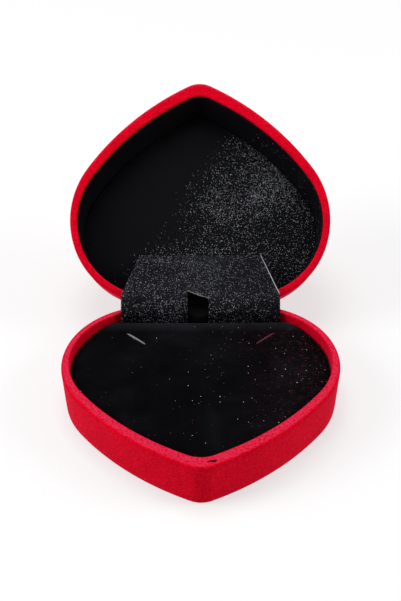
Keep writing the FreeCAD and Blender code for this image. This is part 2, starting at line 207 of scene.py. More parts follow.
class Outline:
    """A heart of tangent arcs, symmetric about X = 0, its point towards -Y."""

    counts = (16, 34, 30, 44, 12, 44, 30, 34)

    def __init__(self, width, depth, tip_y, tip_radius, lobe_radius, cleft_radius):
        self.back_line = tip_y + depth
        self.lobe_radius = lobe_radius
        self.cleft_radius = cleft_radius
        tip, side, shoulder = [math.radians(a) for a in (TIP_TURN, SIDE_TURN, SHOULDER_TURN)]
        across = width / 2 - tip_radius * math.sin(tip)
        along = depth - tip_radius * (1 - math.cos(tip)) - lobe_radius * (1 + math.cos(shoulder))
        a = math.sin(side) - math.sin(tip)
        b = 1 - math.sin(side)
        c = math.cos(tip) - math.cos(side)
        d = math.cos(side) - math.cos(shoulder)
        side_radius = (across * d - b * along) / (a * d - b * c)
        shoulder_radius = (a * along - c * across) / (a * d - b * c)
        self.lobe_x = (
            tip_radius * math.sin(tip) + side_radius * a
            + shoulder_radius * (math.sin(shoulder) - math.sin(side))
            - lobe_radius * math.sin(shoulder)
        )
        cleft_turn = math.asin(self.lobe_x / (lobe_radius + cleft_radius))
        drop = (lobe_radius + cleft_radius) * (1 - math.cos(cleft_turn))
        self.cleft_y = self.back_line - drop
        self.start = Vector((
            -tip_radius * math.sin(tip), tip_y + tip_radius * (1 - math.cos(tip))))
        full = 2 * math.pi
        inside = math.pi + cleft_turn
        outside = math.pi - cleft_turn
        self.arcs = (
            (tip_radius, -tip, tip),
            (side_radius, tip, side),
            (shoulder_radius, side, shoulder),
            (lobe_radius, shoulder, inside),
            (-cleft_radius, inside, outside),
            (lobe_radius, outside, full - shoulder),
            (shoulder_radius, full - shoulder, full - side),
            (side_radius, full - side, full - tip),
        )

    def back_y(self, x):
        """Y of the lobe's back at X."""
        reach = math.sqrt(self.lobe_radius**2 - (abs(x) - self.lobe_x) ** 2)
        return self.back_line - self.lobe_radius + reach

    def loop(self, inset=0.0):
        """Points round the outline, moved inwards by inset, from the left end of the tip's arc."""
        points = []
        corner = self.start.copy()
        for (radius, turn_from, turn_to), count in zip(self.arcs, self.counts):
            for k in range(count):
                turn = turn_from + (turn_to - turn_from) * k / count
                x = corner.x + radius * (math.sin(turn) - math.sin(turn_from))
                y = corner.y + radius * (math.cos(turn_from) - math.cos(turn))
                points.append(Vector((
                    x - inset * math.sin(turn), y + inset * math.cos(turn))))
            corner = corner + Vector((
                radius * (math.sin(turn_to) - math.sin(turn_from)),
                radius * (math.cos(turn_from) - math.cos(turn_to))))
        return points


def box_outlines():
    """The outer, inner and ceiling outlines."""
    width = bpy.context.scene.giftbox_shells.width
    tip_y = -BOX_DEPTH / 2
    outer = Outline(width, BOX_DEPTH, tip_y, TIP_RADIUS, LOBE_RADIUS, CLEFT_RADIUS)
    inner_width = width - 2 * SIDE_WALL
    inner_depth = BOX_DEPTH - TIP_WALL - BACK_WALL
    lobe = LOBE_RADIUS - BACK_WALL
    cleft = CLEFT_RADIUS + BACK_WALL
    inner = Outline(inner_width, inner_depth, tip_y + TIP_WALL, TIP_RADIUS, lobe, cleft)
    ceiling = Outline(
        inner_width - CEILING_SIDES, inner_depth - CEILING_TIP - CEILING_BACK,
        tip_y + TIP_WALL + CEILING_TIP, CEILING_TIP_RADIUS,
        lobe - CEILING_BACK, cleft + CEILING_BACK)
    return outer, inner, ceiling


# ---- mesh helpers ----

def ring_at(outline, inset, z):
    """One level ring of an outline."""
    return [Vector((p.x, p.y, z)) for p in outline.loop(inset)]


def quarter(outline, inset, z, radius, start, end, steps):
    """Rings round a quarter of an edge; start and end are angles in degrees, 0 facing out."""
    rings = []
    for k in range(steps + 1):
        angle = math.radians(start + (end - start) * k / steps)
        rings.append(ring_at(
            outline, inset + radius * (1 - math.cos(angle)), z + radius * math.sin(angle)))
    return rings


def mouth_rings(inner, rim, side):
    """Rings round the inner edge of a rim; side is 1 where the wall goes down, -1 up."""
    rings = [ring_at(inner, -MOUTH_ROUND - 0.2, rim)]
    for k in range(5):
        angle = math.radians(90 - 90 * k / 4)
        rings.append(ring_at(
            inner, -MOUTH_ROUND * (1 - math.cos(angle)),
            rim - side * MOUTH_ROUND * (1 - math.sin(angle))))
    return rings


def skin(rings, name):
    """A closed mesh object through rings of equal length, capped at both ends."""
    verts = [p * MM for ring in rings for p in ring]
    count = len(rings[0])
    faces = []
    for r in range(len(rings) - 1):
        for k in range(count):
            n = (k + 1) % count
            faces.append((r * count + k, r * count + n, (r + 1) * count + n, (r + 1) * count + k))
    faces.append(tuple(range(count - 1, -1, -1)))
    last = (len(rings) - 1) * count
    faces.append(tuple(last + k for k in range(count)))
    return mesh_object(name, verts, faces)


def mesh_object(name, verts, faces):
    """A smooth-shaded mesh object with its faces turned outwards."""
    mesh = bpy.data.meshes.new(name)
    mesh.from_pydata([tuple(v) for v in verts], [], faces)
    work = bmesh.new()
    work.from_mesh(mesh)
    bmesh.ops.recalc_face_normals(work, faces=work.faces)
    work.to_mesh(mesh)
    work.free()
    mesh.polygons.foreach_set("use_smooth", [True] * len(mesh.polygons))
    piece = bpy.data.objects.new(name, mesh)
    bpy.context.scene.collection.objects.link(piece)
    return piece


def finish_piece(piece, material, slot, body, *nodes):
    """Give a piece its material and body, and hide the CAD nodes it stands for; slot is not used.
    """
    piece.data.materials.append(material)
    if nodes:
        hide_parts(*nodes)
    if body:
        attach(piece, body)


def opened(points):
    """Turn points of the closed lid to where they stand with the box open."""
    pivot = Vector((0, AXIS_Y, AXIS_Z))
    turn = Matrix.Rotation(math.radians(-OPENING), 3, "X")
    return [turn @ (p - pivot) + pivot for p in points]


def soft_noise(point, scale, seed):
    """Smooth noise about 0; scale is the size of its bumps in millimetres."""
    return noise.noise(Vector((point.x / scale + seed, point.y / scale - seed, point.z / scale)))


def fill_inwards(boundary, levels, height):
    """Rings from a boundary to near its middle; height lifts a point by its edge distance."""
    middle = sum(boundary, Vector((0, 0, 0))) / len(boundary)
    rings = []
    for share in levels:
        ring = []
        for p in boundary:
            q = p.lerp(middle, share)
            ring.append(height(q, (p - q).length))
        rings.append(ring)
    return rings


# ---- materials ----

def new_material(name):
    """An empty node material and its tree, with the shader wired to the output."""
    material = bpy.data.materials.new(name)
    material.use_nodes = True
    tree = material.node_tree
    tree.nodes.clear()
    output = tree.nodes.new("ShaderNodeOutputMaterial")
    shader = tree.nodes.new("ShaderNodeBsdfPrincipled")
    tree.links.new(shader.outputs["BSDF"], output.inputs["Surface"])
    return material, tree, shader


def set_inputs(tree, node, values):
    """Set or link a node's inputs."""
    for key, value in values.items():
        if isinstance(value, bpy.types.NodeSocket):
            tree.links.new(value, node.inputs[key])
        else:
            node.inputs[key].default_value = value


def add_node(tree, kind, inputs=None, **settings):
    """Add a node, set its attributes, and set or link its inputs."""
    node = tree.nodes.new(kind)
    for key, value in settings.items():
        setattr(node, key, value)
    set_inputs(tree, node, inputs or {})
    return node


def object_place(tree):
    """Object coordinates as a vector, and the same split into X, Y and Z."""
    place = add_node(tree, "ShaderNodeTexCoord").outputs["Object"]
    return place, add_node(tree, "ShaderNodeSeparateXYZ", {"Vector": place}).outputs


def noise_at(tree, place, scale, detail, roughness=0.5, distortion=0.0):
    """Noise about a half; scale is its grain per metre."""
    return add_node(tree, "ShaderNodeTexNoise", {
        "Vector": place, "Scale": scale, "Detail": detail, "Roughness": roughness,
        "Distortion": distortion}).outputs["Fac"]


def random_cells(tree, place, scale, randomness=1.0):
    """Cells of a set number per metre: distance to the middle, and three draws for each."""
    cells = add_node(tree, "ShaderNodeTexVoronoi", {
        "Vector": place, "Scale": scale, "Randomness": randomness}, feature="F1").outputs
    draws = add_node(tree, "ShaderNodeSeparateColor", {"Color": cells["Color"]})
    return cells["Distance"], draws.outputs


def remap(tree, value, source, target=(0.0, 1.0)):
    """A value mapped from one span to another and kept inside it."""
    return add_node(tree, "ShaderNodeMapRange", {
        "Value": value, "From Min": source[0], "From Max": source[1],
        "To Min": target[0], "To Max": target[1]}).outputs["Result"]


def maths(tree, operation, *values):
    """The result of one maths node."""
    node = add_node(tree, "ShaderNodeMath", dict(enumerate(values)), operation=operation)
    return node.outputs[0]


def mix_colours(tree, share, first, second):
    """The first colour turned into the second by a share."""
    return add_node(tree, "ShaderNodeMix", {
        "Factor": share, "A": first, "B": second}, data_type="RGBA").outputs["Result"]


def colour_ramp(tree, value, stops):
    """A colour read off stops given as (position, linear RGBA)."""
    node = add_node(tree, "ShaderNodeValToRGB", {"Fac": value})
    elements = node.color_ramp.elements
    while len(elements) < len(stops):
        elements.new(0.5)
    for element, (position, colour) in zip(elements, stops):
        element.position = position
        element.color = colour
    return node.outputs["Color"]


def bump(tree, strength, depth, height):
    """A normal roughened by a height from 0 to 1; depth is in metres."""
    return add_node(tree, "ShaderNodeBump", {
        "Strength": strength, "Distance": depth, "Height": height}).outputs["Normal"]


def scaled(colour, factor):
    """A linear colour made darker or lighter."""
    return tuple(min(1.0, c * factor) for c in colour[:3]) + (1.0,)


def flock_material():
    """Nylon flock, blown onto glued polystyrene: dead matt, soft pink at grazing angles."""
    material, tree, shader = new_material("nylon_flock_red")
    coordinates = add_node(tree, "ShaderNodeTexCoord").outputs
    place = coordinates["Object"]
    # The nap lies in patches about 12 mm across.
    nap = remap(tree, noise_at(tree, place, 85.0, 3.0, 0.55), (0.0, 1.0), (0.37, 0.63))
    # Single tufts of fibre are 0.05 mm; they are drawn about 0.8 mm across so that they show.
    tuft = noise_at(tree, place, 1150.0, 2.0, 0.75)
    pile = remap(tree, maths(tree, "ADD", tuft, nap), (0.7, 1.3))
    base = hex_linear(bpy.context.scene.giftbox_shells.colour)
    light = (min(1.0, base[0] * 1.2), base[1] + 0.003, base[2] * 1.2 + 0.003, 1.0)
    colour = colour_ramp(tree, pile, [(0.12, scaled(base, 0.68)), (0.5, base), (0.9, light)])
    # Painted highlight: paler, pinker tufts where the rim faces straight up into the light.
    facing = add_node(tree, "ShaderNodeSeparateXYZ", {"Vector": coordinates["Normal"]})
    painted_highlight_up = remap(tree, facing.outputs["Z"], (0.8, 1.0))
    highlight_tufts = remap(tree, tuft, (0.34, 0.66))
    colour = mix_colours(
        tree, maths(tree, "MULTIPLY", painted_highlight_up, highlight_tufts), colour, hex_linear("BA2846"))
    # A scuff about 4 mm long, rubbed through to the dark glue on the rim near the point.
    scuff_at = add_node(tree, "ShaderNodeMapping", {
        "Vector": place, "Location": (0.0037, -0.0411, BASE_TOP * MM),
        "Rotation": (0.0, 0.0, 0.12), "Scale": (0.0023, 0.0007, 0.002)},
        vector_type="TEXTURE")
    reach = add_node(
        tree, "ShaderNodeVectorMath", {0: scuff_at.outputs["Vector"]}, operation="LENGTH")
    ragged = maths(tree, "MULTIPLY_ADD", tuft, 1.2, reach.outputs["Value"])
    scuff = maths(tree, "LESS_THAN", ragged, 1.35)
    set_inputs(tree, shader, {
        "Base Color": mix_colours(tree, scuff, colour, hex_linear("2A0A10")),
        "Roughness": 0.95, "Specular IOR Level": 0.02, "Sheen Weight": 0.34,
        "Sheen Roughness": 0.4, "Sheen Tint": hex_linear("FF4A78"),
        "Normal": bump(tree, 0.6, 0.0002, tuft)})
    return material


def velvet_material():
    """Short-pile velvet: black, with a faint nap, a little lint and flock dust, and painted sheen.
    """
    material, tree, shader = new_material("short_pile_velvet_black")
    place, axes = object_place(tree)
    nap = noise_at(tree, place, 60.0, 4.0, distortion=0.8)
    base = hex_linear(bpy.context.scene.giftbox_insert.colour)
    colour = colour_ramp(
        tree, nap, [(0.35, scaled(base, 0.55)), (0.55, base), (0.75, scaled(base, 1.9))])
    # Red flock dust on the nap in patches; painted sheen makes it stronger towards the right.
    flock_dust_and_sheen = remap(tree, noise_at(tree, place, 420.0, 6.0, 0.9), (0.5, 0.75))
    towards = remap(tree, axes["X"], (0.012, 0.046), (0.0, 0.4))
    colour = mix_colours(
        tree, maths(tree, "MULTIPLY", towards, flock_dust_and_sheen), colour, hex_linear("5A2A34"))
    # Painted highlight: the nap is painted paler over the rolled back edge, where it catches
    # light.
    back = INSERT_BACK * MM
    rolled = remap(tree, axes["Y"], (back - 0.006, back - 0.001), (0.0, 0.9))
    colour = mix_colours(
        tree, maths(tree, "MULTIPLY", rolled, nap), colour, hex_linear("242428"))
    # Lint: specks about 0.3 mm across, one every few millimetres; the extra specks at the right
    # are painted glints.
    distance, draws = random_cells(tree, place, 1350.0)
    chance = remap(tree, axes["X"], (-0.01, 0.04), (0.018, 0.2))
    picked = maths(tree, "LESS_THAN", draws["Red"], chance)
    lint_and_glint_speck = maths(tree, "MULTIPLY", picked, maths(tree, "LESS_THAN", distance, 0.22))
    tint = colour_ramp(tree, draws["Green"], [
        (0.0, hex_linear("4A1A22")), (0.75, hex_linear("50343C")),
        (1.0, hex_linear("B8A8A8"))])
    set_inputs(tree, shader, {
        "Base Color": mix_colours(tree, lint_and_glint_speck, colour, tint),
        "Roughness": 0.95, "Specular IOR Level": 0.015,
        "Sheen Weight": 0.004, "Sheen Roughness": 0.5,
        "Normal": bump(tree, 0.4, 0.00012, noise_at(tree, place, 1800.0, 2.0, 0.7))})
    return material


def satin_material(name, colour, gloss, few, many, shade_near_hinge):
    """Woven acetate satin, with its glints painted into the base colour.

    few and many are the shares of painted glints at the left and at the right, and the last
    argument is what is left of them close to the hinge, where they thin out as painted shade.
    """
    material, tree, shader = new_material(name)
    place, axes = object_place(tree)
    # Real threads are 0.1 mm apart; they are drawn at the set spacing so that they show.
    per_metre = 1000.0 / bpy.context.scene.giftbox_lining.thread
    _, draws = random_cells(tree, place, per_metre, 0.9)
    drift = noise_at(tree, place, 55.0, 3.0)
    # Painted glints: the colour turns from smooth to glinting along a slant, towards the right,
    # and in patches.
    across = maths(tree, "MULTIPLY_ADD", drift, 0.016, axes["X"])
    slanted = maths(tree, "MULTIPLY_ADD", axes["Z"], -1.15, across)
    chance = remap(tree, slanted, (-0.048, -0.012), (few, many))
    patchy = remap(tree, drift, (0.35, 0.65), (0.45, 1.45))
    # Painted shade: fewer glints low down, near the hinge.
    painted_hinge_shade = remap(tree, axes["Z"], (0.030, 0.046), (shade_near_hinge, 1.0))
    share = maths(tree, "MULTIPLY", chance, maths(tree, "MULTIPLY", patchy, painted_hinge_shade))
    painted_glint = maths(tree, "LESS_THAN", draws["Red"], share)
    strength = maths(tree, "MULTIPLY", painted_glint, maths(tree, "POWER", draws["Green"], 2.0))
    set_inputs(tree, shader, {
        "Base Color": mix_colours(
            tree, strength, hex_linear(colour), hex_linear("B6B6BC")),
        "Roughness": remap(tree, draws["Green"], (0.0, 1.0), (gloss, gloss + 0.25)),
        "Specular IOR Level": 0.035,
        "Normal": bump(tree, 0.5, 0.0001, draws["Blue"])})
    return material


def plain_material(name, colour, roughness, scale, depth, metallic=0.0):
    """A quiet stock finish with a fine grain; scale is its grain per metre."""
    material, tree, shader = new_material(name)
    place = add_node(tree, "ShaderNodeTexCoord").outputs["Object"]
    grain = noise_at(tree, place, scale, 4.0, 0.6)
    base = hex_linear(colour)
    set_inputs(tree, shader, {
        "Base Color": colour_ramp(
            tree, grain, [(0.35, scaled(base, 0.8)), (0.65, scaled(base, 1.15))]),
        "Roughness": remap(tree, grain, (0.0, 1.0), (roughness - 0.08, roughness + 0.08)),
        "Metallic": metallic,
        "Normal": bump(tree, 0.4, depth, grain)})
    return material


def material_named(name, make):
    """Make a material once and find it again by name."""
    return bpy.data.materials.get(name) or make()


def satin(kind):
    """The satin of one panel."""
    colour = bpy.context.scene.giftbox_lining.colour
    kinds = {
        "acetate_satin_ceiling": (colour, 0.5, 0.0, 0.19, 0.35),
        "acetate_satin_wall": (colour, 0.55, 0.0, 0.012, 1.0),
        "acetate_satin_cover": ("0C0C10", 0.45, 0.095, 0.08, 1.0),
    }
    return material_named(kind, lambda: satin_material(kind, *kinds[kind]))


def flock():
    """The flock of both shells."""
    return material_named("nylon_flock_red", flock_material)


# ---- pieces ----

class GIFTBOX_OT_base(bpy.types.Operator):
    """Make the flocked base shell."""
    bl_idname = "giftbox.base"
    bl_label = "Base shell"

    def execute(self, context):
        shells = context.scene.giftbox_shells
        outer, inner, _ = box_outlines()
        draft = shells.base_draft
        foot = 0.8
        rim = shells.rim_round
        slope = draft / BASE_TOP
        rings = [ring_at(outer, draft + foot + 0.8, 0)]
        rings += quarter(outer, draft, foot, foot, -90, 0, 4)
        for k in range(1, 8):
            z = foot + (BASE_TOP - rim - foot) * k / 8
            rings.append(ring_at(outer, draft - slope * z, z))
        rings += quarter(outer, slope * rim * 0.5, BASE_TOP - rim, rim, 0, 90, 9)
        rings.append(ring_at(outer, rim + 0.25, BASE_TOP))
        rings += mouth_rings(inner, BASE_TOP, 1)
        ledge = INSERT_LOW - 0.05
        mouth = BASE_TOP - MOUTH_ROUND
        for k in range(1, 8):
            rings.append(ring_at(inner, 0, mouth - (mouth - ledge) * k / 7))
        # The ledge that the insert's board rests on, then the well below it.
        well = ((0.3, ledge), (2.3, ledge), (2.6, ledge), (2.6, ledge - 0.4),
                (2.6, shells.floor), (3.2, shells.floor))
        rings += [ring_at(inner, inset, z) for inset, z in well]
        piece = skin(rings, "base_shell_flocked")
        join_lug(piece, BASE_TOP - LUG_FAR, BASE_TOP - LUG_NEAR, outer, False)
        finish_piece(piece, flock(), "red_flock", "base", "base_shell")
        return {"FINISHED"}


def join_lug(piece, low, high, outer, on_lid):
    """Add the moulded block in the cleft that carries a hinge leaf."""
    back = AXIS_Y - LUG_FRONT
    front = outer.cleft_y - LUG_ROOT
    half = LUG_HALF
    edge = 0.3
    rings = []
    for z, inset in ((low, edge), (low + edge, 0), (high - edge, 0), (high, edge)):
        ring = []
        for x, y in ((-half, front), (half, front), (half, back), (-half, back)):
            cut_x = x - math.copysign(inset, x)
            cut_y = y - inset if y == back else y
            ring.append(Vector((cut_x, cut_y, z)))
        rings.append(opened(ring) if on_lid else ring)
    lug = skin(rings, "lug")
    lug.data.polygons.foreach_set("use_smooth", [False] * len(lug.data.polygons))
    work = bmesh.new()
    work.from_mesh(piece.data)
    work.from_mesh(lug.data)
    work.to_mesh(piece.data)
    work.free()
    bpy.data.objects.remove(lug)


class GIFTBOX_OT_lid(bpy.types.Operator):
    """Make the flocked lid shell."""
    bl_idname = "giftbox.lid"
    bl_label = "Lid shell"

    def execute(self, context):
        shells = context.scene.giftbox_shells
        outer, inner, ceiling = box_outlines()
        crown = LID_RIM + shells.lid_height
        rim = shells.rim_round
        turn = shells.crown_round
        slope = shells.lid_draft / shells.lid_height
        rings = [ring_at(outer, shells.lid_draft + turn + 0.8, crown)]
        rings += quarter(outer, shells.lid_draft, crown - turn, turn, 90, 0, 8)
        for k in range(7, 0, -1):
            z = LID_RIM + rim + (crown - turn - LID_RIM - rim) * k / 8
            rings.append(ring_at(outer, slope * (z - LID_RIM), z))
        rings += quarter(outer, slope * rim * 0.5, LID_RIM + rim, rim, 0, -90, 9)
        rings.append(ring_at(outer, rim + 0.25, LID_RIM))
        rings += mouth_rings(inner, LID_RIM, -1)
        top = crown - shells.lid_top
        first = inner.loop(0)
        last = ceiling.loop(-LINING)
        for k in range(1, 6):
            share = k / 5
            z = LID_RIM + 0.7 + (top - LID_RIM - 0.7) * share
            rings.append([Vector((*a.lerp(b, share), z)) for a, b in zip(first, last)])
        rings.append(ring_at(ceiling, 0.4, top))
        piece = skin([opened(ring) for ring in rings], "lid_shell_flocked")
        join_lug(piece, LID_RIM + LUG_NEAR, LID_RIM + LUG_FAR, outer, True)
        finish_piece(piece, flock(), "red_flock", "lid", "lid_shell")
        return {"FINISHED"}


def insert_boundary(inner):
    """The insert's outline: the base's inner heart with a straight back edge."""
    clearance = 0.35
    points = [p for p in inner.loop(clearance) if p.y < INSERT_BACK]
    turn = [k for k in range(len(points)) if points[k].x > 0][-1]
    right = points[turn]
    left = points[turn + 1]
    steps = 60
    for k in range(1, steps):
        share = k / steps
        points.insert(turn + k, Vector((
            right.x + (left.x - right.x) * share, INSERT_BACK)))
    return points


class GIFTBOX_OT_insert(bpy.types.Operator):
    """Make the velvet pad and its foam, with the two chain slits."""
    bl_idname = "giftbox.insert"
    bl_label = "Insert"

    def execute(self, context):
        settings = context.scene.giftbox_insert
        _, inner, _ = box_outlines()
        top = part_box("insert_velvet")[1].z / MM
        edge = settings.edge_round
        boundary = [Vector((p.x, p.y, 0)) for p in insert_boundary(inner)]
        rings = [lowered(boundary, inset, z) for inset, z in (
            (0.6, INSERT_LOW), (0.0, INSERT_LOW + 0.5), (0.0, top - edge - 1.5))]
        levels = [0.0, 0.006, 0.014, 0.024, 0.036, 0.05, 0.066, 0.085, 0.11]
        levels += [0.14 + 0.04 * k for k in range(22)]

        def height(point, depth):
            roll = min(depth, edge)
            z = top - edge + math.sqrt(max(0.0, edge**2 - (edge - roll) ** 2))
            swell = settings.crown * (1 - math.exp(-depth / 9.0))
            wave = 0.16 * soft_noise(point, 14.0, 3.1) * (1 - math.exp(-depth / 4.0))
            # The velvet is rolled over the foam along the back, with a small pleat at the right.
            from_back = (INSERT_BACK - point.y) / 7.0
            lift = settings.back_lift * math.exp(-from_back**2)
            pleat = 0.35 * math.exp(-((point.x - 21.5) / 0.7) ** 2 - (from_back * 3) ** 2)
            return Vector((point.x, point.y, z - settings.crown + swell + wave + lift - pleat))

        rings += fill_inwards(boundary, levels, height)
        piece = skin(rings, "insert_velvet_pad")
        cutters = [slit_cutter(settings, side, top) for side in (-1, 1)]
        for cutter in cutters:
            cut = piece.modifiers.new("slit", "BOOLEAN")
            cut.object = cutter
            cut.solver = "EXACT"
        settle(piece)
        for cutter in cutters:
            bpy.data.objects.remove(cutter)
        finish_piece(
            piece, material_named("short_pile_velvet_black", velvet_material),
            "black_velvet", "insert", "insert_velvet")
        cut_edges(piece, top)
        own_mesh(piece)
        return {"FINISHED"}


def lowered(boundary, inset, z):
    """A boundary at height z, drawn towards its middle by inset."""
    middle = sum(boundary, Vector((0, 0, 0))) / len(boundary)
    ring = []
    for p in boundary:
        q = p + (middle - p).normalized() * inset
        ring.append(Vector((q.x, q.y, z)))
    return ring


def slit_cutter(settings, side, top):
    """A lens-shaped blade that opens one slit."""
    count = 14
    rings = []
    for z, wide in ((top - 3.6, 0.25), (top - 0.85, 0.45), (top + 1.5, 0.62)):
        ring = []
        for k in range(2 * count):
            angle = math.pi * k / count
            x = math.cos(angle) * settings.slit_length / 2
            y = math.sin(angle) * wide
            ring.append(Vector((x, y, z)))
        rings.append(ring)
    turn = Matrix.Rotation(side * settings.slit_angle, 3, "Z")
    place = Vector((side * SLIT_X, AXIS_Y - SLIT_FRONT, 0))
    rings = [[turn @ p + place for p in ring] for ring in rings]
    return skin(rings, "slit_cutter")


def cut_edges(piece, top):
    """Show the backing along the top of each slit: white at the left, reddish at the right."""
    for name, colour in (("velvet_cut_edge_white", "7E7C7D"), ("velvet_cut_edge_red", "5E2030")):
        piece.data.materials.append(plain_material(name, colour, 0.85, 1500.0, 0.00005))
    for polygon in piece.data.polygons:
        spot = polygon.center / MM
        at_slit = math.hypot(abs(spot.x) - SLIT_X, spot.y - AXIS_Y + SLIT_FRONT) < SLIT_REACH
        if at_slit and abs(polygon.normal.z) < 0.7 and spot.z > top - 1.2:
            polygon.material_index = 1 if spot.x < 0 else 2


def settle(piece):
    """Apply a piece's modifiers to its mesh."""
    graph = bpy.context.evaluated_depsgraph_get()
    graph.update()
    mesh = bpy.data.meshes.new_from_object(piece.evaluated_get(graph))
    mesh.name = piece.name
    piece.modifiers.clear()
    piece.data = mesh


class GIFTBOX_OT_lining(bpy.types.Operator):
    """Make the lid's satin ceiling and the two strips round its wall."""
    bl_idname = "giftbox.lining"
    bl_label = "Lid lining"

    def execute(self, context):
        shells = context.scene.giftbox_shells
        _, inner, ceiling = box_outlines()
        top = LID_RIM + shells.lid_height - shells.lid_top
        low = top - CEILING_FILL
        self.make_ceiling(ceiling, low, context.scene.giftbox_lining.puff)
        for side, name in ((-1, "left"), (1, "right")):
            self.make_wall(inner, ceiling, low, side, name)
        return {"FINISHED"}

    def make_ceiling(self, ceiling, low, puff):
        boundary = [Vector((p.x, p.y, low)) for p in ceiling.loop(LINING - 0.15)]

        def height(point, depth):
            swell = puff * (1 - math.exp(-depth / 5.0))
            wave = 0.22 * soft_noise(point, 17.0, 8.4) * (1 - math.exp(-depth / 3.0))
            return Vector((point.x, point.y, low - swell - wave))

        levels = [0.0, 0.01, 0.022, 0.036, 0.052, 0.07, 0.092, 0.12]
        levels += [0.15 + 0.04 * k for k in range(21)]
        rings = [[Vector((p.x, p.y, low + 0.25)) for p in boundary]]
        rings += fill_inwards(boundary, levels, height)
        piece = skin([opened(r) for r in rings], "lid_ceiling_satin_puffed")
        finish_piece(
            piece, satin("acetate_satin_ceiling"), "black_satin", "lid", "lid_ceiling_satin")

    def make_wall(self, inner, ceiling, low, side, name):
        top_loop = inner.loop(0)
        far_loop = ceiling.loop(0)
        total = len(top_loop)
        centre = Outline.counts[0] // 2
        cleft = sum(Outline.counts[:4]) + Outline.counts[4] // 2
        order = list(range(centre, cleft - 9)) if side > 0 else (
            [k % total for k in range(centre + total, cleft + 9, -1)])
        columns = []
        rows = 9
        for k in order:
            column = []
            for r in range(rows + 1):
                share = r / rows
                p = top_loop[k].lerp(far_loop[k], share)
                z = LID_RIM + WALL_EDGE + (low + 0.1 - LID_RIM - WALL_EDGE) * share
                column.append((p, z, 0.25 * math.sin(math.pi * share)))
            columns.append(column)
        wall_strip(columns, name)


def wall_strip(columns, label):
    """A thin closed strip of satin on the lid's wall, from columns of (point, height, bulge)."""
    layers = []
    for stand_off, puffed in ((LINING, 1.0), (0.06, 0.0)):
        layer = []
        for p, z, bulge in [spot for column in columns for spot in column]:
            q = p + (LID_MIDDLE - p).normalized() * (stand_off + bulge * puffed)
            layer.append(Vector((q.x, q.y, z)))
        layers.append(opened(layer))
    piece = strip_piece("lid_wall_satin_%s_strip" % label, columns, *layers)
    finish_piece(
        piece, satin("acetate_satin_wall"), "black_satin", "lid", "lid_wall_satin_" + label)
    length = sum((b[0][0] - a[0][0]).length for a, b in zip(columns, columns[1:]))
    top, bottom = [Vector((*columns[0][k][0], columns[0][k][1])) for k in (0, -1)]
    strip_area(columns) * MM * MM


def strip_area(columns):
    """The area of a strip of columns, in square millimetres."""
    total = 0.0
    for a, b in zip(columns, columns[1:]):
        for k in range(len(a) - 1):
            corners = (a[k], a[k + 1], b[k + 1], b[k])
            p, q, r, s = [Vector((*spot[0], spot[1])) for spot in corners]
            total += 0.5 * (q - p).cross(r - p).length + 0.5 * (r - p).cross(s - p).length
    return total


